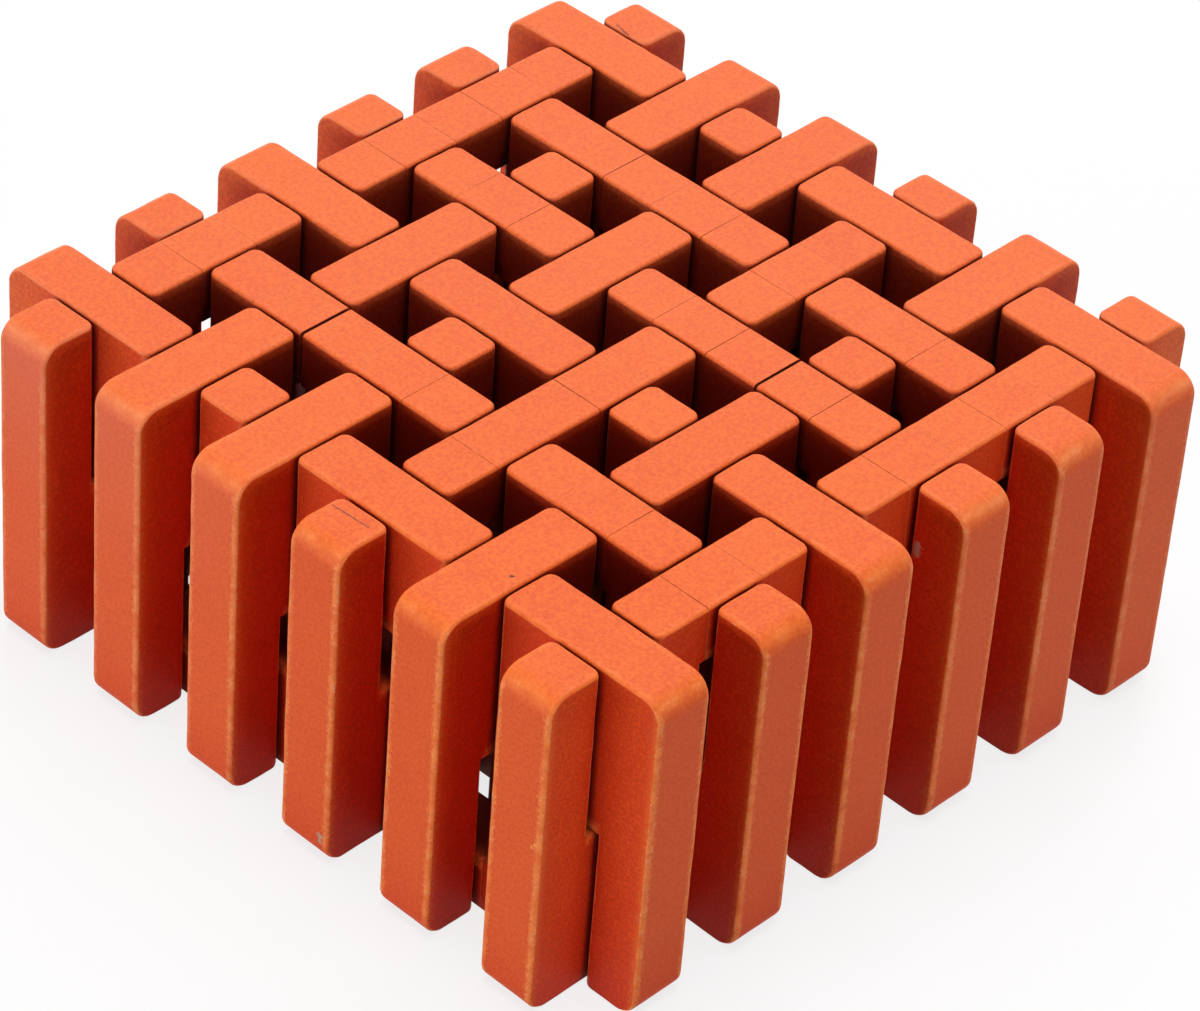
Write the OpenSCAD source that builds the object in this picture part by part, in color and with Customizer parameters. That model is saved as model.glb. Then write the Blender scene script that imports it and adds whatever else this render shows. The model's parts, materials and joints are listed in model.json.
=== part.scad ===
// Woven lattice puzzle: six boards each way, standing on edge and laced over and under.
// All twelve boards are alike; each is laid in one of four ways. Sizes are in millimetres.
// A board is a row of posts joined by short connectors, so its outline winds like a snake.

/* [Boards] */
// Thickness of every board
board_t = 7.9; // [6:0.1:12]
// Width of one post, measured along the board
post_w = 7.9; // [6:0.1:12]
// Height of one step; a board is six steps high
step_h = 7.6; // [6:0.1:12]

/* [Fits] */
// Gap on each side of a board where it passes through a slot
side_play = 0.3; // [0.2:0.05:0.8]
// Upright gap between two connectors that just meet
lift_play = 0.4; // [0.2:0.05:0.8]

/* [Edges] */
// Radius of the four outer corners of a board
corner_r = 2.8; // [1.6:0.1:3.8]
// Radius of the softened edges
edge_r = 0.5; // [0.3:0.1:1]
// Radius of the upright edges beside a slot
mouth_r = 1.3; // [0.5:0.1:2]

/* [Hidden] */
$fn = 48;

// Connectors of a board from end to end, in steps. Above zero the connector hangs from
// the top edge, below zero it stands on the bottom edge.
connector_steps = [3, -1, -2, 2, -1, 3];
board_steps = 6;
crossing_count = len(connector_steps);

slot_w = board_t + 2 * side_play;
pitch = post_w + slot_w;
board_l = crossing_count * pitch + post_w;
board_h = board_steps * step_h;

// How far a cutting shape runs past the face that it cuts
overcut = 1;

// First and last post of each piece that is cut in one with its hanging connectors
link_names = ["head_link", "mid_post", "middle_link", "tail_link"];
link_posts = [[0, 1], [2, 2], [3, 4], [5, 6]];
// Crossings where a separate block is glued in between two posts
block_crossings = [for (c = [0 : crossing_count - 1]) if (connector_steps[c] < 0) c];
piece_names = concat(link_names, ["splice_blocks"]);

// How a board is laid: upside down or not, end for end or not
plain = [false, false];
flipped = [true, false];
turned = [false, true];
flipped_turned = [true, true];

// Weft boards run along X and are listed from front to back.
// Warp boards run along Y and are listed from left to right.
weft = [plain, flipped, turned, flipped_turned, flipped, plain];
warp = [flipped_turned, turned, plain, flipped, turned, flipped_turned];

function node_name(set, i, piece) = str(set, "_", i + 1, "_", piece);

paint = "#E4683A";
block_paint = "#DB6035";

function post_x(k) = (k - crossing_count / 2) * pitch;
function crossing_x(c) = (post_x(c) + post_x(c + 1)) / 2;
function connector_h(c) = abs(connector_steps[c]) * step_h - lift_play / 2;

module rounded_rect(w, h, r) {
    square([w - 2 * r, h], center = true);
    square([w, h - 2 * r], center = true);
    for (x = [-1, 1], y = [-1, 1])
        translate([x * (w / 2 - r), y * (h / 2 - r)]) circle(r);
}

// What rounding takes off a square corner whose solid lies towards +x and -y
module corner_waste(r) {
    difference() {
        translate([0, -r]) square([r, r + overcut]);
        translate([r, -r]) circle(r);
    }
}

// Straight stretch of a board with its long edges softened
module rail(from, to) {
    translate([from, 0, 0])
        rotate([90, 0, 90])
            linear_extrude(to - from) rounded_rect(board_t, board_h, edge_r);
}

// Outer end of a board: an upright strip between two rounded corners
module end_cap() {
    strip_h = board_h - 2 * corner_r;
    translate([board_l / 2 - corner_r, 0, 0]) {
        linear_extrude(strip_h, center = true) cap_outline();
        for (turn = [0, 180])
            rotate([turn, 0, 0])
                translate([0, 0, strip_h / 2])
                    rotate([90, 0, 0]) rotate_extrude(angle = 90) cap_outline();
    }
}

module cap_outline() {
    intersection() {
        rounded_rect(2 * corner_r, board_t, edge_r);
        translate([0, -board_t / 2]) square([corner_r, board_t]);
    }
}

// Slot for a crossing board, cut from the edge that has no connector, with soft edges
module slot(c) {
    depth = board_h - connector_h(c);
    mirror([0, 0, connector_steps[c] > 0 ? 1 : 0])
        translate([crossing_x(c), 0, 0]) {
            translate([0, 0, board_h / 2 - depth])
                linear_extrude(depth + overcut) {
                    square([slot_w, board_t + 2 * overcut], center = true);
                    for (x = [0, 1], y = [0, 1])
                        mirror([x, 0]) mirror([0, y])
                            translate([slot_w / 2, board_t / 2]) corner_waste(mouth_r);
                }
            for (x = [0, 1])
                mirror([x, 0, 0])
                    translate([slot_w / 2, 0, board_h / 2])
                        rotate([90, 0, 0])
                            linear_extrude(board_t + 2 * overcut, center = true) corner_waste(edge_r);
        }
}

// One piece of a board: a post, or two posts with the connector that hangs between them
module link(posts) {
    first = posts[0];
    last = posts[1];
    at_head = first == 0;
    at_tail = last == crossing_count;
    from = at_head ? -board_l / 2 + corner_r : post_x(first) - post_w / 2;
    to = at_tail ? board_l / 2 - corner_r : post_x(last) + post_w / 2;
    color(paint) difference() {
        union() {
            rail(from, to);
            if (at_head) rotate([0, 0, 180]) end_cap();
            if (at_tail) end_cap();
        }
        for (c = [max(first - 1, 0) : min(last, crossing_count - 1)]) slot(c);
    }
}

// Blocks glued between the links, flush with the standing edge of the board
module splice_blocks() {
    for (c = block_crossings)
        color(block_paint) intersection() {
            rail(crossing_x(c) - slot_w / 2, crossing_x(c) + slot_w / 2);
            translate([crossing_x(c) - slot_w, -board_t, -board_h / 2 - overcut])
                cube([2 * slot_w, 2 * board_t, connector_h(c) + overcut]);
        }
}

module board_piece(piece) {
    if (piece == len(link_names)) splice_blocks();
    else link(link_posts[piece]);
}

// A board piece in the way its board is laid, with the board's foot at height zero
module laid(way, piece) {
    translate([0, 0, board_h / 2])
        rotate([way[0] ? 180 : 0, 0, way[1] ? 180 : 0]) board_piece(piece);
}

module weft_piece(i, piece) {
    translate([0, crossing_x(i), 0]) laid(weft[i], piece);
}

module warp_piece(i, piece) {
    translate([crossing_x(i), 0, 0]) rotate([0, 0, 90]) laid(warp[i], piece);
}

for (i = [0 : crossing_count - 1], p = [0 : len(piece_names) - 1]) {
    weft_piece(i, p);
    warp_piece(i, p);
}
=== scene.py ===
import json
import math
import random

import bmesh
import bpy
from mathutils import Matrix, Vector

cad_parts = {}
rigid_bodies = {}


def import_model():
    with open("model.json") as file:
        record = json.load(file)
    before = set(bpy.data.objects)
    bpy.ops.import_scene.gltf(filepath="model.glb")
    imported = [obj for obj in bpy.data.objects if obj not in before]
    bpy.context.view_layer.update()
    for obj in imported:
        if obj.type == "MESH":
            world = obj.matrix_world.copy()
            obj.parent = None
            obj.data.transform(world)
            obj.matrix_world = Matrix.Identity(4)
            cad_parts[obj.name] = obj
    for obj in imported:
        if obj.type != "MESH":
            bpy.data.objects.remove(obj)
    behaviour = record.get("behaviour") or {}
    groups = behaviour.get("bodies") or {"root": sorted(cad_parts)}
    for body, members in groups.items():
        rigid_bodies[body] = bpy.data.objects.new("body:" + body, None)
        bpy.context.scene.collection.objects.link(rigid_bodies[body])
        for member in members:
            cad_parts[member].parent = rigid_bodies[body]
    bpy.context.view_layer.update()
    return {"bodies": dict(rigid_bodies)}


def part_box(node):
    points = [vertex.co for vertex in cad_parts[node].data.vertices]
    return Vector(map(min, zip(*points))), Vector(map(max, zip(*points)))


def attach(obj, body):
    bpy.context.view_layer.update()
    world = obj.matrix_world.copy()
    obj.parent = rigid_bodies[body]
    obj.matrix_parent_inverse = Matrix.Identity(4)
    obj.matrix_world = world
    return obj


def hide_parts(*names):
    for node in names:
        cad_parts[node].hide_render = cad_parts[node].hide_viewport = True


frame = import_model()

mm = 0.001
tiny = 1e-6
hair = 0.01 * mm  # too small to see: merges points, and runs a cut past a face


def boxSize(node):
    low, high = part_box(node)
    return high - low


def boxMiddle(node):
    low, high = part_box(node)
    return (low + high) / 2


# Camera first: the middle of the picture looks at a point inside the lattice.
viewCamera = {
    "aim": Vector((5.14 * mm, -3.46 * mm, 22.8 * mm)),
    "distance": 610.7 * mm,
    "azimuth": math.radians(41.77),
    "elevation": math.radians(38.23),
    "roll": math.radians(4.62),
    "lens": 155.27,  # on a sensor 36 mm wide
}


def makeCamera(spec):
    data = bpy.data.cameras.new("viewCamera")
    data.lens = spec["lens"]
    data.sensor_fit = "HORIZONTAL"
    camera = bpy.data.objects.new("viewCamera", data)
    bpy.context.scene.collection.objects.link(camera)
    level = math.cos(spec["elevation"])
    back = Vector((
        level * math.sin(spec["azimuth"]),
        -level * math.cos(spec["azimuth"]),
        math.sin(spec["elevation"]),
    ))
    turn = back.to_track_quat("Z", "Y").to_matrix().to_4x4()
    turn = turn @ Matrix.Rotation(spec["roll"], 4, "Z")
    camera.matrix_world = Matrix.Translation(spec["aim"] + spec["distance"] * back) @ turn
    bpy.context.scene.camera = camera
    print("camera set")


makeCamera(viewCamera)


# Small helpers for building node trees.
def addNode(tree, kind, settings=None, **inputs):
    node = tree.nodes.new(kind)
    for name, value in (settings or {}).items():
        setattr(node, name, value)
    for name, value in inputs.items():
        socket = node.inputs[int(name[1:])] if name[0] == "_" else node.inputs[name.replace("_", " ")]
        if isinstance(value, bpy.types.NodeSocket):
            tree.links.new(value, socket)
        else:
            socket.default_value = value
    return node


def mathNode(tree, operation, *values):
    node = tree.nodes.new("ShaderNodeMath")
    node.operation = operation
    for socket, value in zip(node.inputs, values):
        if isinstance(value, bpy.types.NodeSocket):
            tree.links.new(value, socket)
        else:
            socket.default_value = value
    return node.outputs[0]


def times(tree, first, *others):
    product = first
    for value in others:
        product = mathNode(tree, "MULTIPLY", product, value)
    return product


def without(tree, value):
    return mathNode(tree, "SUBTRACT", 1.0, value)


def vectorMath(tree, operation, first, second, output="Vector"):
    node = addNode(tree, "ShaderNodeVectorMath", {"operation": operation}, _0=first, _1=second)
    return node.outputs[output]


def splitAxes(tree, vector):
    return addNode(tree, "ShaderNodeSeparateXYZ", _0=vector).outputs


# A span gives the readings at which an effect starts and is full.
def mapRange(tree, value, span, result=(0.0, 1.0)):
    node = addNode(
        tree, "ShaderNodeMapRange", _0=value, _1=span[0], _2=span[1], _3=result[0], _4=result[1],
    )
    return node.outputs[0]


def between(tree, amount, atNone, atFull):
    return mapRange(tree, amount, (0.0, 1.0), (atNone, atFull))


def newTree(name, sizes):
    tree = bpy.data.node_groups.new(name, "GeometryNodeTree")
    tree.interface.new_socket("Geometry", in_out="INPUT", socket_type="NodeSocketGeometry")
    for size, kind in sizes:
        tree.interface.new_socket(size, in_out="INPUT", socket_type="NodeSocket" + kind)
    tree.interface.new_socket("Geometry", in_out="OUTPUT", socket_type="NodeSocketGeometry")
    return tree, tree.nodes.new("NodeGroupInput").outputs, tree.nodes.new("NodeGroupOutput").inputs[0]


def addTreeModifier(piece, tree, values):
    modifier = piece.modifiers.new(tree.name, "NODES")
    modifier.node_group = tree
    for item in tree.interface.items_tree:
        if item.in_out == "INPUT" and item.name in values:
            modifier[item.identifier] = values[item.name]
    return modifier


def bakeModifiers(piece):
    bpy.context.view_layer.update()
    evaluated = piece.evaluated_get(bpy.context.evaluated_depsgraph_get())
    mesh = bpy.data.meshes.new_from_object(evaluated)
    piece.modifiers.clear()
    old = piece.data
    piece.data = mesh
    mesh.name = piece.name
    bpy.data.meshes.remove(old)
    return mesh


def linkedObject(name, mesh):
    piece = bpy.data.objects.new(name, mesh)
    bpy.context.scene.collection.objects.link(piece)
    return piece


# Orange paint on sanded wood: grainy, with painted shade deepening the broad faces.
orangePaint = {
    "body": (0.92, 0.170, 0.018),
    "deep": (0.73, 0.084, 0.012),
    "grain": {"scale": 2200, "detail": 3.0, "roughness": 0.72},  # scale is in speckles to the metre
    "cloud": {"scale": 170, "detail": 4.0, "roughness": 0.5},
    "flake": {"scale": 2300, "detail": 1.0, "roughness": 0.5},
    "patch": {"scale": 450, "detail": 2.0, "roughness": 0.5},
    "grainSpan": (0.3, 0.7),
    "speckleSpan": (0.38, 0.62),
    "driftSpan": (0.30, 0.70),
    "driftShare": 0.16,  # of the shade; the rest is speckle
    "topContrast": 0.8,
    "endContrast": 0.6,
    "sideContrast": 1.5,
    "ragged": 0.08,  # how far the grain moves the borders between effects
    "endTint": (1.0, 0.84, 1.0),  # ends are redder than the long edges
    "sideTint": (0.87, 0.47, 0.07),  # painted shade: broad faces deeper and redder, as where they stand in shade
    "sideFade": (1.0, 0.6),  # that painted shade gives way towards the far corner
    "roughness": (0.52, 0.68),
    "gloss": (0.19, 0.36),
    "bumpStrength": 0.5,
    "bumpHeight": 0.10 * mm,
}


def mixColour(tree, factor, first, second, blend="MIX"):
    node = tree.nodes.new("ShaderNodeMix")
    node.data_type = "RGBA"
    node.blend_type = blend
    sockets = {"Factor": node.inputs[0], "A": node.inputs[6], "B": node.inputs[7]}
    for name, value in (("Factor", factor), ("A", first), ("B", second)):
        if isinstance(value, bpy.types.NodeSocket):
            tree.links.new(value, sockets[name])
        else:
            sockets[name].default_value = (*value, 1) if isinstance(value, tuple) else value
    return node.outputs[2]


def noise(tree, place, pattern):
    node = addNode(
        tree, "ShaderNodeTexNoise", Vector=place, Scale=pattern["scale"],
        Detail=pattern["detail"], Roughness=pattern["roughness"],
    )
    return node.outputs["Fac"]


def attribute(tree, name, output="Fac"):
    node = tree.nodes.new("ShaderNodeAttribute")
    node.attribute_name = name
    return node.outputs[output]


def paintShade(tree, surface, spec):
    speckle = mapRange(tree, surface["grain"], spec["speckleSpan"])
    drift = mapRange(tree, surface["cloud"], spec["driftSpan"])
    drift = times(tree, drift, spec["driftShare"])
    shade = mathNode(tree, "MULTIPLY_ADD", speckle, 1 - spec["driftShare"], drift)
    shade = mathNode(tree, "ADD", shade, attribute(tree, "tone"))
    contrast = between(tree, surface["end"], spec["topContrast"], spec["endContrast"])
    sideExtra = spec["sideContrast"] - spec["topContrast"]
    contrast = mathNode(tree, "MULTIPLY_ADD", surface["side"], sideExtra, contrast)
    offMiddle = mathNode(tree, "SUBTRACT", shade, 0.5)
    return mathNode(tree, "MULTIPLY_ADD", offMiddle, contrast, 0.5)


# How far a face is one of the board's broad sides, an end, upright, a rounded long edge or level.
faceSpans = {
    "side": (0.86, 0.96),
    "end": (0.75, 0.25),
    "upright": (0.7, 0.3),
    "longEdge": (0.25, 0.55),
    "flat": (0.70, 0.97),
}


def faceKinds(tree, ragged):
    normal = tree.nodes.new("ShaderNodeNewGeometry").outputs["Normal"]
    across = attribute(tree, "across", "Vector")
    broad = mathNode(tree, "ABSOLUTE", vectorMath(tree, "DOT_PRODUCT", normal, across, "Value"))
    level = mathNode(tree, "ABSOLUTE", splitAxes(tree, normal)[2])
    readings = {
        "side": mathNode(tree, "ADD", broad, ragged),
        "end": mathNode(tree, "MAXIMUM", broad, level),
        "upright": level,
        "longEdge": broad,
        "flat": level,
    }
    kinds = {name: mapRange(tree, value, faceSpans[name]) for name, value in readings.items()}
    kinds["longEdge"] = times(tree, kinds["longEdge"], without(tree, kinds["upright"]))
    return kinds


# Painted sheen: paler towards the far corner, most of all high up on the left-hand ends.
farCornerSheen = {
    "dust": (0.86, 0.30, 0.18),
    "dustShare": 0.08,
    "span": (-70 * mm, 10 * mm),  # counted from the middle towards the far corner
    "hazeShare": 0.24,  # more painted sheen on the left-hand ends
    "hazeHeight": (22 * mm, 44 * mm),
    "hazeAlong": (5 * mm, -35 * mm),
}


def towardsFarCorner(tree, place, spec):
    axes = splitAxes(tree, place)
    return mapRange(tree, mathNode(tree, "SUBTRACT", axes[1], axes[0]), spec["span"])


# painted sheen: a pale veil towards the far corner and high on the left-hand ends, away from broad,
# level and inner faces
def paintSheen(tree, surface, colour, spec):
    axes = splitAxes(tree, surface["place"])
    covered = mathNode(tree, "MAXIMUM", surface["side"], surface["flat"])
    covered = mathNode(tree, "MAXIMUM", covered, surface["inside"])
    endSheen = mapRange(tree, axes[2], spec["hazeHeight"])
    endSheen = times(tree, endSheen, mapRange(tree, axes[0], spec["hazeAlong"]))
    endSheen = times(tree, endSheen, without(tree, covered), spec["hazeShare"])
    sheenAmount = mathNode(tree, "MULTIPLY_ADD", surface["faded"], spec["dustShare"], endSheen)
    return mixColour(tree, sheenAmount, colour, spec["dust"])


# Painted shade: deeper colour between facing walls, nearly black deep inside, and darker where two
# boards almost touch.
paintedRecessShade = {
    "recess": (0.84, 0.27, 0.06),
    "recessReach": 25 * mm,  # how near a facing wall makes a recess
    "recessSpan": (0.75, 0.15),
    "pit": (0.31, 0.08, 0.13),
    "latticeReach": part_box("warp_6_mid_post")[1].x,  # out to the far face of the last board
    "latticeBorder": 1.5 * mm,
    "crevice": (0.26, 0.16, 0.16),
    "creviceReach": 1.2 * mm,
    "creviceSpan": (0.55, 0.25),
    "samples": 4,
}


def openness(tree, reach, samples):
    node = addNode(tree, "ShaderNodeAmbientOcclusion", {"samples": samples}, Distance=reach)
    return node.outputs["AO"]


def insideLattice(tree, place, spec):
    axes = splitAxes(tree, place)
    alongX = mathNode(tree, "ABSOLUTE", axes[0])
    alongY = mathNode(tree, "ABSOLUTE", axes[1])
    span = (spec["latticeReach"], spec["latticeReach"] - spec["latticeBorder"])
    return mapRange(tree, mathNode(tree, "MAXIMUM", alongX, alongY), span)


# painted shade, from how open each point is to what stands around it
def paintRecessShade(tree, surface, colour, spec):
    facing = openness(tree, spec["recessReach"], spec["samples"])
    shadow = mixColour(tree, surface["inside"], spec["recess"], spec["pit"])
    colour = mixColour(tree, mapRange(tree, facing, spec["recessSpan"]), colour, shadow, "MULTIPLY")
    touching = openness(tree, spec["creviceReach"], spec["samples"])
    creviceShade = mapRange(tree, touching, spec["creviceSpan"])
    return mixColour(tree, creviceShade, colour, spec["crevice"], "MULTIPLY")


# Paler where the rims and edges have rubbed, in patches, with small flakes along the rims.
rubbedEdges = {
    "worn": (1.0, 0.26, 0.055),
    "scuff": (0.98, 0.38, 0.19),
    "fadedScuff": 0.7,
    "rimSpan": (0.74, 0.86),  # out from the middle of the board's thickness
    "levelRimShare": 0.35,  # level rims are rubbed less than upright ones
    "fadedRimShare": 0.40,
    "edgeShare": 0.70,
    "longEdgeShare": 0.28,
    "insideShare": 0.25,
    "patchSpan": (0.35, 0.65),
    "patchShare": 0.35,  # what is left of the wear between the patches
    "flakeSpan": (0.55, 0.64),
    "flakeRub": (0.30, 0.70),
    "flakeShare": 0.5,
    "endReach": (0.9 * mm, 0.5 * mm),  # how far in from the ends the broad faces are rubbed
    "endGrain": (0.35, 0.65),
    "endRagged": 0.8 * mm,
    "endShare": 0.3,
}


def rubEdges(tree, surface, colour, spec):
    rim = mathNode(tree, "ADD", attribute(tree, "fromMiddle"), surface["ragged"])
    rim = mapRange(tree, rim, spec["rimSpan"])
    rim = times(tree, rim, between(tree, surface["upright"], spec["levelRimShare"], 1.0))
    rim = times(tree, rim, between(tree, surface["faded"], 1.0, spec["fadedRimShare"]))
    edge = between(tree, surface["longEdge"], spec["edgeShare"], spec["longEdgeShare"])
    edge = times(tree, attribute(tree, "edgeWear"), edge)
    rubbed = mathNode(tree, "MAXIMUM", rim, edge)
    rubbed = times(tree, rubbed, between(tree, surface["inside"], 1.0, spec["insideShare"]))
    rubbed = times(tree, rubbed, without(tree, surface["side"]))
    patchy = mapRange(tree, surface["patch"], spec["patchSpan"], (spec["patchShare"], 1.0))
    rubbed = times(tree, rubbed, patchy)
    scuffed = times(tree, surface["faded"], spec["fadedScuff"])
    worn = mixColour(tree, scuffed, spec["worn"], spec["scuff"])
    colour = mixColour(tree, rubbed, colour, worn)
    flaked = mapRange(tree, surface["flake"], spec["flakeSpan"])
    flaked = times(tree, flaked, mapRange(tree, rubbed, spec["flakeRub"]), spec["flakeShare"])
    colour = mixColour(tree, flaked, colour, spec["scuff"])
    uneven = mapRange(tree, surface["grain"], spec["endGrain"], (-spec["endRagged"], spec["endRagged"]))
    nearEnd = mathNode(tree, "ADD", attribute(tree, "fromEnd"), uneven)
    nearEnd = mapRange(tree, nearEnd, spec["endReach"])
    nearEnd = times(tree, nearEnd, surface["fullSide"], spec["endShare"])
    return mixColour(tree, nearEnd, colour, spec["worn"])


# Small marks left by use, each a short stroke: from, to and radius in millimetres, and its colour.
bareWood = (0.52, 0.33, 0.24)
freshPaint = (1.0, 0.30, 0.08)
darkSpot = (0.10, 0.012, 0.008)
thinScratch = (0.30, 0.045, 0.02)
paintMarks = {
    "strokes": {
        "chipWarp4Foot": ((10.9, -53.0, 3.2), (10.9, -53.0, 4.0), 0.45, bareWood),
        "chipWarp6Rim": ((43.6, -53.0, 24.6), (44.4, -53.0, 25.4), 0.35, freshPaint),
        "chipWeft3Rim": ((53.0, -12.0, 26.9), (53.0, -12.0, 27.5), 0.35, freshPaint),
        "chipWeft4Side": ((46.5, 4.2, 36.9), (46.6, 4.2, 38.0), 0.75, bareWood),
        "spotWarp5Top": ((26.8, -41.2, 45.6), (26.9, -41.1, 45.6), 0.22, darkSpot),
        "scratchWarp4Top": ((5.0, -47.4, 45.6), (10.4, -47.1, 45.6), 0.14, thinScratch),
        "scratchWarp1Top": ((-42.6, 45.9, 45.6), (-37.5, 44.9, 45.6), 0.14, thinScratch),
    },
    "core": 0.6,  # share of the radius that is fully marked
    "flakeSpan": (0.35, 0.65),
    "ragged": (0.7, 1.5),  # how much the flakes widen or narrow a mark
}


# Full on the stroke and gone past its radius.
def strokeMask(tree, place, start, end, radius, core, ragged):
    start = Vector(start) * mm
    reach = Vector(end) * mm - start
    radius = radius * mm
    off = vectorMath(tree, "SUBTRACT", place, start)
    along = vectorMath(tree, "DOT_PRODUCT", off, reach, "Value")
    share = mapRange(tree, along, (0.0, reach.length_squared))
    foot = addNode(tree, "ShaderNodeVectorMath", {"operation": "SCALE"}, _0=reach, Scale=share)
    gap = vectorMath(tree, "DISTANCE", off, foot.outputs["Vector"], "Value")
    return mapRange(tree, times(tree, gap, ragged), (radius, core * radius))


def addMarks(tree, surface, colour, spec):
    ragged = mapRange(tree, surface["flake"], spec["flakeSpan"], spec["ragged"])
    for start, end, radius, markColour in spec["strokes"].values():
        mask = strokeMask(tree, surface["place"], start, end, radius, spec["core"], ragged)
        colour = mixColour(tree, mask, colour, markColour)
    return colour


def readSurface(tree, spec):
    place = tree.nodes.new("ShaderNodeTexCoord").outputs["Object"]
    surface = {name: noise(tree, place, spec[name]) for name in ("grain", "cloud", "flake", "patch")}
    surface["place"] = place
    surface["ragged"] = mapRange(
        tree, surface["grain"], spec["grainSpan"], (-spec["ragged"], spec["ragged"]),
    )
    surface.update(faceKinds(tree, surface["ragged"]))
    surface["faded"] = towardsFarCorner(tree, place, farCornerSheen)
    surface["inside"] = insideLattice(tree, place, paintedRecessShade)
    awayFromFarCorner = mapRange(tree, surface["faded"], spec["sideFade"])
    # where the painted shade of the broad faces is full
    surface["fullSide"] = times(tree, surface["side"], awayFromFarCorner)
    return surface


def makePaint(spec):
    material = bpy.data.materials.new("orangePaint")
    material.use_nodes = True
    tree = material.node_tree
    shader = tree.nodes["Principled BSDF"]
    surface = readSurface(tree, spec)
    colour = mixColour(tree, paintShade(tree, surface, spec), spec["deep"], spec["body"])
    # painted sheen towards the far corner
    colour = paintSheen(tree, surface, colour, farCornerSheen)
    colour = mixColour(tree, surface["end"], colour, spec["endTint"], "MULTIPLY")
    # painted shade on the broad faces, less towards the far corner
    colour = mixColour(tree, surface["fullSide"], colour, spec["sideTint"], "MULTIPLY")
    # painted shade in recesses, deep in the lattice and between boards
    colour = paintRecessShade(tree, surface, colour, paintedRecessShade)
    colour = rubEdges(tree, surface, colour, rubbedEdges)
    colour = addMarks(tree, surface, colour, paintMarks)
    tree.links.new(colour, shader.inputs["Base Color"])
    for finish, socket in (("gloss", "Specular IOR Level"), ("roughness", "Roughness")):
        value = mapRange(tree, surface["grain"], spec["grainSpan"], spec[finish])
        tree.links.new(value, shader.inputs[socket])
    bump = addNode(
        tree, "ShaderNodeBump", Strength=spec["bumpStrength"],
        Distance=spec["bumpHeight"], Height=surface["grain"],
    )
    tree.links.new(bump.outputs["Normal"], shader.inputs["Normal"])
    return material


paintMaterial = makePaint(orangePaint)
print("paint mixed")


# One board, in its own frame: X along it, Z up, centred. Every slot follows the same rule.
lonePost = boxSize("weft_1_mid_post")
doublePost = boxSize("weft_1_head_link")
tallBlock = boxSize("weft_1_splice_blocks")

snakeBoard = {
    "connectors": [3, -1, -2, 2, -1, 3],  # in steps; above zero from the top edge, below from the bottom
    "steps": 6,
    "postWidth": lonePost.x,
    "thickness": lonePost.y,
    "height": lonePost.z,
    "slotWidth": doublePost.x - 2 * lonePost.x,
    "cornerRadius": 2.8 * mm,
    "cornerSegments": 8,
    "mouthRadius": 1.3 * mm,  # upright edges beside a slot
    "mouthSegments": 6,
    "edgeRadius": 0.5 * mm,
    "edgeSegments": 4,
    "cell": 2.9 * mm,  # widest face on the flats
    "cellSlack": 0.01,  # a stretch this little too wide is left whole
    "cutSnap": 0.002 * mm,  # a point this near a cut counts as on it
    "sharpAngle": math.radians(60),  # edges sharper than this are rounded
    "levelFace": 0.999,  # normals this upright belong to level faces
}
snakeBoard["pitch"] = snakeBoard["postWidth"] + snakeBoard["slotWidth"]
snakeBoard["length"] = len(snakeBoard["connectors"]) * snakeBoard["pitch"] + snakeBoard["postWidth"]
snakeBoard["step"] = snakeBoard["height"] / snakeBoard["steps"]
snakeBoard["halfPlay"] = 2 * snakeBoard["step"] - tallBlock.z  # taken off the free end of each connector


def crossingX(c):
    return (c + 0.5 - len(snakeBoard["connectors"]) / 2) * snakeBoard["pitch"]


def connectorHeight(c):
    return abs(snakeBoard["connectors"][c]) * snakeBoard["step"] - snakeBoard["halfPlay"]


# Slot as a cutting shape one unit high: a straight passage that flares where it leaves the broad faces.
def slotCutter():
    half = snakeBoard["slotWidth"] / 2
    radius = snakeBoard["mouthRadius"]
    face = snakeBoard["thickness"] / 2 + hair
    corner = []
    for k in range(snakeBoard["mouthSegments"] + 1):
        turn = math.pi / 2 * k / snakeBoard["mouthSegments"]
        corner.append((half + radius - radius * math.cos(turn), face - radius + radius * math.sin(turn)))
    corner.append((half + radius, 2 * face))
    outline = corner + [(-x, y) for x, y in reversed(corner)]
    outline += [(-x, -y) for x, y in corner] + [(x, -y) for x, y in reversed(corner)]
    shape = bmesh.new()
    floor = shape.faces.new([shape.verts.new((x, y, -0.5)) for x, y in outline])
    raised = bmesh.ops.extrude_face_region(shape, geom=[floor])["geom"]
    top = [v for v in raised if isinstance(v, bmesh.types.BMVert)]
    bmesh.ops.translate(shape, vec=(0, 0, 1), verts=top)
    bmesh.ops.recalc_face_normals(shape, faces=shape.faces)
    mesh = bpy.data.meshes.new("slotCutter")
    shape.to_mesh(mesh)
    shape.free()
    return linkedObject("slotCutter", mesh)


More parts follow.
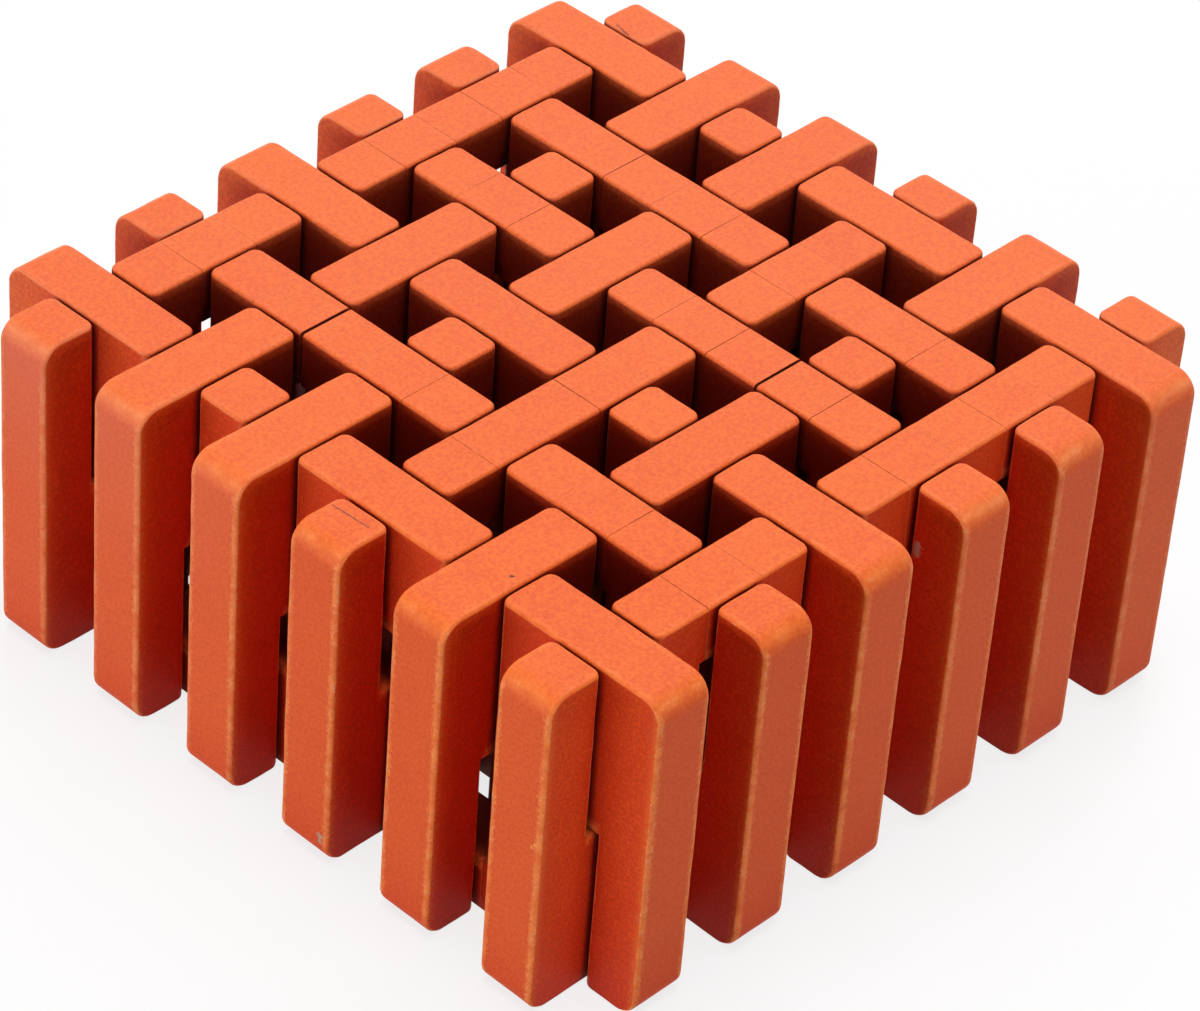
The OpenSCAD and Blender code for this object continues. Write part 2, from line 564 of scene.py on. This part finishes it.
def snakeTree():
    floats = ["Length", "Height", "Thickness", "Corner Radius", "Step", "Half Play"]
    sizes = [("Slot", "Object")] + [(name, "Float") for name in floats]
    tree, given, result = newTree("snakeBoard", sizes)
    outline = addNode(
        tree, "GeometryNodeCurvePrimitiveQuadrilateral", Width=given["Length"], Height=given["Height"],
    )
    rounded = addNode(
        tree, "GeometryNodeFilletCurve", {"mode": "POLY"}, Curve=outline.outputs[0],
        Count=snakeBoard["cornerSegments"], Radius=given["Corner Radius"],
    )
    face = addNode(tree, "GeometryNodeFillCurve", {"mode": "NGONS"}, Curve=rounded.outputs[0])
    raised = addNode(
        tree, "GeometryNodeExtrudeMesh", {"mode": "FACES"}, Mesh=face.outputs[0],
        Offset_Scale=given["Thickness"], Individual=False,
    )
    backFace = addNode(tree, "GeometryNodeFlipFaces", Mesh=face.outputs[0])
    shell = tree.nodes.new("GeometryNodeJoinGeometry")
    tree.links.new(raised.outputs["Mesh"], shell.inputs[0])
    tree.links.new(backFace.outputs[0], shell.inputs[0])
    slab = addNode(tree, "GeometryNodeMergeByDistance", Geometry=shell.outputs[0], Distance=hair)
    middle = addNode(tree, "ShaderNodeCombineXYZ", Y=mathNode(tree, "MULTIPLY", given["Thickness"], 0.5))
    upright = addNode(
        tree, "GeometryNodeTransform", Geometry=slab.outputs[0],
        Translation=middle.outputs[0], Rotation=(math.pi / 2, 0, 0),
    )
    named = addNode(tree, "GeometryNodeInputNamedAttribute", {"data_type": "FLOAT"}, Name="connector")
    steps = named.outputs[0]
    rise = mathNode(tree, "MULTIPLY", mathNode(tree, "ABSOLUTE", steps), given["Step"])
    rise = mathNode(tree, "SUBTRACT", rise, given["Half Play"])
    depth = mathNode(tree, "SUBTRACT", mathNode(tree, "MULTIPLY", given["Height"], 2.0), rise)
    drop = mathNode(tree, "MULTIPLY", mathNode(tree, "ADD", rise, given["Height"]), -0.5)
    centre = mathNode(tree, "MULTIPLY", mathNode(tree, "SIGN", steps), drop)
    moved = addNode(
        tree, "GeometryNodeSetPosition", Geometry=given["Geometry"],
        Offset=addNode(tree, "ShaderNodeCombineXYZ", Z=centre).outputs[0],
    )
    cutter = addNode(tree, "GeometryNodeObjectInfo", Object=given["Slot"])
    size = addNode(tree, "ShaderNodeCombineXYZ", X=1.0, Y=1.0, Z=depth)
    slots = addNode(
        tree, "GeometryNodeInstanceOnPoints", Points=moved.outputs[0],
        Instance=cutter.outputs["Geometry"], Scale=size.outputs[0],
    )
    cutters = addNode(tree, "GeometryNodeRealizeInstances", Geometry=slots.outputs[0])
    cut = addNode(tree, "GeometryNodeMeshBoolean", {"operation": "DIFFERENCE", "solver": "EXACT"})
    tree.links.new(upright.outputs[0], cut.inputs["Mesh 1"])
    tree.links.new(cutters.outputs[0], cut.inputs["Mesh 2"])
    whole = addNode(tree, "GeometryNodeRealizeInstances", Geometry=cut.outputs[0])
    painted = addNode(tree, "GeometryNodeSetMaterial", Geometry=whole.outputs[0], Material=paintMaterial)
    tree.links.new(painted.outputs[0], result)
    return tree


def evenCuts(low, high, cell):
    count = max(1, math.ceil((high - low) / cell - snakeBoard["cellSlack"]))
    return [low + (high - low) * k / count for k in range(1, count)]


def boardCuts():
    half = Vector((snakeBoard["length"], snakeBoard["thickness"], snakeBoard["height"])) / 2
    radius = snakeBoard["cornerRadius"]
    xs = {-half.x, half.x, -half.x + radius, half.x - radius}
    zs = {-half.z, half.z, -half.z + radius, half.z - radius}
    for c, steps in enumerate(snakeBoard["connectors"]):
        wall = snakeBoard["slotWidth"] / 2
        for reach in (wall, wall + snakeBoard["mouthRadius"]):
            xs |= {crossingX(c) - reach, crossingX(c) + reach}
        zs.add(math.copysign(half.z - connectorHeight(c), steps))
    cuts = []
    for axis, marks in ((0, xs), (1, {-half.y, half.y}), (2, zs)):
        marks = sorted(marks)
        inner = marks[1:-1]
        for low, high in zip(marks, marks[1:]):
            inner += evenCuts(low, high, snakeBoard["cell"])
        cuts += [(axis, at) for at in sorted(inner)]
    return cuts


def cutAcross(shape, axis, at):
    normal = [0, 0, 0]
    normal[axis] = 1
    bmesh.ops.bisect_plane(
        shape, geom=shape.verts[:] + shape.edges[:] + shape.faces[:], dist=snakeBoard["cutSnap"],
        plane_co=[at * n for n in normal], plane_no=normal,
    )


def roundOff(shape, edges, width, segments):
    bmesh.ops.bevel(
        shape, geom=edges, offset=width, offset_type="OFFSET",
        segments=segments, profile=0.5, affect="EDGES", clamp_overlap=False,
    )


def makeBoard():
    points = bpy.data.meshes.new("snakeBoard")
    points.from_pydata([(crossingX(c), 0, 0) for c in range(len(snakeBoard["connectors"]))], [], [])
    steps = points.attributes.new("connector", "FLOAT", "POINT")
    steps.data.foreach_set("value", [float(s) for s in snakeBoard["connectors"]])
    board = linkedObject("snakeBoard", points)
    cutter = slotCutter()
    addTreeModifier(board, snakeTree(), {
        "Slot": cutter,
        "Length": snakeBoard["length"],
        "Height": snakeBoard["height"],
        "Thickness": snakeBoard["thickness"],
        "Corner Radius": snakeBoard["cornerRadius"],
        "Step": snakeBoard["step"],
        "Half Play": snakeBoard["halfPlay"],
    })
    mesh = bakeModifiers(board)
    bpy.data.objects.remove(board)
    bpy.data.objects.remove(cutter)
    shape = bmesh.new()
    shape.from_mesh(mesh)
    bmesh.ops.remove_doubles(shape, verts=shape.verts, dist=hair)
    for axis, at in boardCuts():
        cutAcross(shape, axis, at)
    print("board cut:", len(shape.faces), "faces")
    return shape


def facesConnector(face):
    inside = abs(face.calc_center_median().z) < snakeBoard["height"] / 2 - tiny
    return inside and abs(face.normal.z) > snakeBoard["levelFace"]


def roundEdges(shape):
    sharp = [e for e in shape.edges if e.calc_face_angle_signed() > snakeBoard["sharpAngle"]]
    sharp = [e for e in sharp if not any(facesConnector(f) for f in e.link_faces)]
    roundOff(shape, sharp, snakeBoard["edgeRadius"], snakeBoard["edgeSegments"])
    print("edges rounded:", len(shape.faces), "faces")


# Each board is glued up from four links and three blocks; the joints show as hairlines in the paint.
glueSeam = {
    "hairline": 0.07 * mm,  # how far each edge is eased where two pieces meet
    "tightLine": 0.02 * mm,  # the same, on the side of a block where paint has filled the joint
    "openBoards": ["weft_2", "weft_4"],  # boards with one glue joint that has opened
    "openGap": 0.40 * mm,
    "rimAngle": math.radians(30),  # edges of a cut flatter than this aren't eased
    "links": {"head_link": (0, 1), "mid_post": (2, 2), "middle_link": (3, 4), "tail_link": (5, 6)},
}
blockCrossings = [c for c, steps in enumerate(snakeBoard["connectors"]) if steps < 0]


# Where each point lies, for the wear in the paint.
def markRims(shape):
    layers = shape.verts.layers.float
    for name in ("fromMiddle", "fromEnd"):
        layers.new(name)
    fromMiddle = layers["fromMiddle"]
    fromEnd = layers["fromEnd"]
    for v in shape.verts:
        v[fromMiddle] = abs(v.co.y) / (snakeBoard["thickness"] / 2)
        v[fromEnd] = snakeBoard["length"] / 2 - abs(v.co.x)


def cutAtSeams(shape):
    for c in blockCrossings:
        for side in (-1, 1):
            cutAcross(shape, 0, crossingX(c) + side * snakeBoard["slotWidth"] / 2)


def pieceOf(place):
    for c in blockCrossings:
        top = connectorHeight(c) - snakeBoard["height"] / 2
        if abs(place.x - crossingX(c)) < snakeBoard["slotWidth"] / 2 - tiny and place.z < top + tiny:
            return "splice_blocks"
    post = round(place.x / snakeBoard["pitch"] + len(snakeBoard["connectors"]) / 2)
    for name, (first, last) in glueSeam["links"].items():
        if first <= post <= last:
            return name


# Which wall of the nearest block an edge lies on: -1 towards the head, 1 towards the tail.
def seamSide(edge):
    x = (edge.verts[0].co.x + edge.verts[1].co.x) / 2
    nearest = min(blockCrossings, key=lambda c: abs(crossingX(c) - x))
    return 1 if x > crossingX(nearest) else -1


def takePiece(board, name, looseSide):
    shape = board.copy()
    spare = [f for f in shape.faces if pieceOf(f.calc_center_median()) != name]
    bmesh.ops.delete(shape, geom=spare, context="FACES")
    torn = [e for e in shape.edges if e.is_boundary]
    caps = set(bmesh.ops.holes_fill(shape, edges=torn, sides=0)["faces"])
    bmesh.ops.recalc_face_normals(shape, faces=shape.faces)
    rim = [e for e in shape.edges if caps.intersection(e.link_faces)]
    rim = [e for e in rim if e.calc_face_angle_signed() > glueSeam["rimAngle"]]
    loose = [e for e in rim if seamSide(e) == looseSide]
    tight = [e for e in rim if seamSide(e) != looseSide]
    roundOff(shape, loose, glueSeam["hairline"], 1)
    roundOff(shape, tight, glueSeam["tightLine"], 1)
    return shape


def openJoint(mesh):
    wall = crossingX(blockCrossings[0]) + snakeBoard["slotWidth"] / 2
    for v in mesh.vertices:
        if abs(v.co.x - wall) < 2 * glueSeam["hairline"]:
            v.co.x -= glueSeam["openGap"]


boardShape = makeBoard()
roundEdges(boardShape)
cutAtSeams(boardShape)
markRims(boardShape)
pieceKinds = (*glueSeam["links"], "splice_blocks")
pieceShapes = {
    looseSide: {name: takePiece(boardShape, name, looseSide) for name in pieceKinds}
    for looseSide in (-1, 1)
}
print("board cut into", len(pieceKinds), "kinds of piece")


# Hand sanding leaves the flats a little wavy and the edges a little uneven.
sanding = {
    "waviness": 0.16 * mm,
    "waveSize": 60,  # waves to the metre
    "waveDetail": 1.0,
    "edgeNicks": 0.20 * mm,
    "nickSize": 420,
    "nickDetail": 2.0,
    "toneSpread": 0.10,
    "evenWeight": 80,  # how far the large faces rule the shading
    "seed": 7,
}


def sandingTree():
    floats = ["Waviness", "Wave Size", "Edge Nicks", "Nick Size", "Tone"]
    vectors = [("Shift", "Vector"), ("Across", "Vector")]
    tree, given, result = newTree("sanding", vectors + [(name, "Float") for name in floats])
    position = tree.nodes.new("GeometryNodeInputPosition").outputs[0]
    place = vectorMath(tree, "ADD", position, given["Shift"])
    normal = tree.nodes.new("GeometryNodeInputNormal").outputs[0]
    tilt = addNode(tree, "ShaderNodeVectorMath", {"operation": "ABSOLUTE"}, _0=normal)
    parts = splitAxes(tree, tilt.outputs[0])
    squareOn = mathNode(tree, "MAXIMUM", mathNode(tree, "MAXIMUM", parts[0], parts[1]), parts[2])
    onEdge = mapRange(tree, squareOn, (1.0, math.sqrt(0.5)))
    wave = addNode(
        tree, "ShaderNodeTexNoise", Vector=place, Scale=given["Wave Size"], Detail=sanding["waveDetail"],
    ).outputs[0]
    nick = addNode(
        tree, "ShaderNodeTexNoise", Vector=place, Scale=given["Nick Size"], Detail=sanding["nickDetail"],
    ).outputs[0]
    wavy = times(tree, mathNode(tree, "SUBTRACT", wave, 0.5), given["Waviness"])
    nicked = times(tree, mathNode(tree, "SUBTRACT", nick, 0.5), given["Edge Nicks"], onEdge)
    push = addNode(
        tree, "ShaderNodeVectorMath", {"operation": "SCALE"},
        _0=normal, Scale=mathNode(tree, "ADD", wavy, nicked),
    ).outputs[0]
    worn = addNode(
        tree, "GeometryNodeStoreNamedAttribute", {"data_type": "FLOAT", "domain": "POINT"},
        Geometry=given["Geometry"], Name="edgeWear", Value=onEdge,
    )
    toned = addNode(
        tree, "GeometryNodeStoreNamedAttribute", {"data_type": "FLOAT", "domain": "POINT"},
        Geometry=worn.outputs[0], Name="tone", Value=given["Tone"],
    )
    sided = addNode(
        tree, "GeometryNodeStoreNamedAttribute", {"data_type": "FLOAT_VECTOR", "domain": "POINT"},
        Geometry=toned.outputs[0], Name="across", Value=given["Across"],
    )
    sanded = addNode(tree, "GeometryNodeSetPosition", Geometry=sided.outputs[0], Offset=push)
    smooth = addNode(tree, "GeometryNodeSetShadeSmooth", Geometry=sanded.outputs[0], Shade_Smooth=True)
    whole = addNode(tree, "GeometryNodeRealizeInstances", Geometry=smooth.outputs[0])
    painted = addNode(tree, "GeometryNodeSetMaterial", Geometry=whole.outputs[0], Material=paintMaterial)
    tree.links.new(painted.outputs[0], result)
    return tree


sandingNodes = sandingTree()
draw = random.Random(sanding["seed"])


def boardPlace(board):
    head = boxMiddle(board + "_head_link")
    along, across = (0, 1) if board.startswith("weft") else (1, 0)
    place = Vector((0, 0, head.z))
    place[across] = head[across]
    quarter = math.pi / 2 * along
    turned = math.pi if head[along] > 0 else 0
    flipped = math.pi if boxMiddle(board + "_splice_blocks").z > head.z else 0
    turn = Matrix.Rotation(quarter + turned, 4, "Z") @ Matrix.Rotation(flipped, 4, "X")
    return Matrix.Translation(place) @ turn


def pieceName(board, kind):
    words = kind.split("_")
    return board.replace("_", "") + "".join(word.capitalize() for word in words)


def layBoard(board):
    place = boardPlace(board)
    shift = Vector(draw.uniform(-1, 1) for axis in range(3))
    ahead = place.col[0].to_3d()
    looseSide = 1 if ahead.x > ahead.y else -1  # the far side of each block is filled with paint
    for kind, shape in pieceShapes[looseSide].items():
        node = board + "_" + kind
        mesh = bpy.data.meshes.new(pieceName(board, kind))
        shape.to_mesh(mesh)
        if kind == "splice_blocks" and board in glueSeam["openBoards"]:
            openJoint(mesh)
        mesh.transform(place)
        piece = linkedObject(mesh.name, mesh)
        addTreeModifier(piece, sandingNodes, {
            "Shift": shift,
            "Across": place.col[1].to_3d(),  # the board's own thickness direction
            "Waviness": sanding["waviness"],
            "Wave Size": sanding["waveSize"],
            "Edge Nicks": sanding["edgeNicks"],
            "Nick Size": sanding["nickSize"],
            "Tone": draw.uniform(-1, 1) * sanding["toneSpread"],
        })
        even = piece.modifiers.new("evenShading", "WEIGHTED_NORMAL")
        even.weight = sanding["evenWeight"]
        bakeModifiers(piece)
        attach(piece, board)
        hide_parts(node)


for body in frame["bodies"]:
    layBoard(body)


# Pale floor that fades to white away from the lattice, and soft white light from five panels.
studio = {
    "floorSize": 6.0,
    "floorColour": (0.92, 0.92, 0.92),
    "floorBounce": (0.40, 0.40, 0.40),
    "shadowShare": 0.20,  # how much of the floor's own shading shows in the picture
    "fadeSpan": (0.12, 0.35),  # out from the middle of the lattice
    "roomLight": 0.0,
    "lamps": {
        "overheadPanel": {"at": (0.0, 0.0, 1.90), "size": (1.2, 1.2), "power": 27.2},
        "backPanel": {"at": (-0.85, 1.15, 1.50), "size": (1.2, 1.2), "power": 20.8},
        "leftPanel": {"at": (-0.30, -0.98, 0.12), "size": (0.9, 0.2), "power": 5.3},
        "rightPanel": {"at": (1.02, -0.05, 0.14), "size": (0.7, 0.2), "power": 2.5},
        "frontPanel": {"at": (0.75, -0.85, 0.30), "size": (0.6, 0.4), "power": 0.35},
    },
}


def seenRay(tree):
    path = tree.nodes.new("ShaderNodeLightPath").outputs
    seen = mathNode(tree, "MAXIMUM", path["Is Camera Ray"], path["Is Glossy Ray"])
    return mathNode(tree, "MAXIMUM", seen, path["Is Transmission Ray"])


def makeFloor(spec):
    half = spec["floorSize"] / 2
    mesh = bpy.data.meshes.new("studioFloor")
    corners = [(-half, -half, 0), (half, -half, 0), (half, half, 0), (-half, half, 0)]
    mesh.from_pydata(corners, [], [(0, 1, 2, 3)])
    floor = linkedObject("studioFloor", mesh)
    material = bpy.data.materials.new("studioFloor")
    material.use_nodes = True
    tree = material.node_tree
    tree.nodes.remove(tree.nodes["Principled BSDF"])
    seen = seenRay(tree)
    pale = mixColour(tree, seen, spec["floorBounce"], spec["floorColour"])
    matt = addNode(tree, "ShaderNodeBsdfDiffuse", Color=pale)
    white = addNode(tree, "ShaderNodeEmission", Color=(1, 1, 1, 1), Strength=1.0)
    place = tree.nodes.new("ShaderNodeTexCoord").outputs["Object"]
    away = addNode(tree, "ShaderNodeVectorMath", {"operation": "LENGTH"}, _0=place).outputs["Value"]
    fade = mapRange(tree, away, spec["fadeSpan"], (1 - spec["shadowShare"], 1.0))
    fade = times(tree, fade, seen)
    mixed = addNode(tree, "ShaderNodeMixShader", _0=fade, _1=matt.outputs[0], _2=white.outputs[0])
    tree.links.new(mixed.outputs[0], tree.nodes["Material Output"].inputs["Surface"])
    mesh.materials.append(material)


def makeRoom(spec):
    world = bpy.data.worlds.new("studioRoom")
    bpy.context.scene.world = world
    world.use_nodes = True
    tree = world.node_tree
    light = tree.nodes["Background"]
    light.inputs["Color"].default_value = (1, 1, 1, 1)
    light.inputs["Strength"].default_value = spec["roomLight"]
    white = addNode(tree, "ShaderNodeBackground", Color=(1, 1, 1, 1), Strength=1.0)
    seen = seenRay(tree)
    mixed = addNode(tree, "ShaderNodeMixShader", _0=seen, _1=light.outputs[0], _2=white.outputs[0])
    tree.links.new(mixed.outputs[0], tree.nodes["World Output"].inputs["Surface"])
    for name, lamp in spec["lamps"].items():
        data = bpy.data.lights.new(name, "AREA")
        data.shape = "RECTANGLE"
        data.size, data.size_y = lamp["size"]
        data.energy = lamp["power"]
        panel = bpy.data.objects.new(name, data)
        panel.location = lamp["at"]
        panel.rotation_euler = Vector(lamp["at"]).to_track_quat("Z", "Y").to_euler()
        bpy.context.scene.collection.objects.link(panel)


makeFloor(studio)
makeRoom(studio)
bpy.context.scene.view_settings.view_transform = "Standard"
print("studio lit")
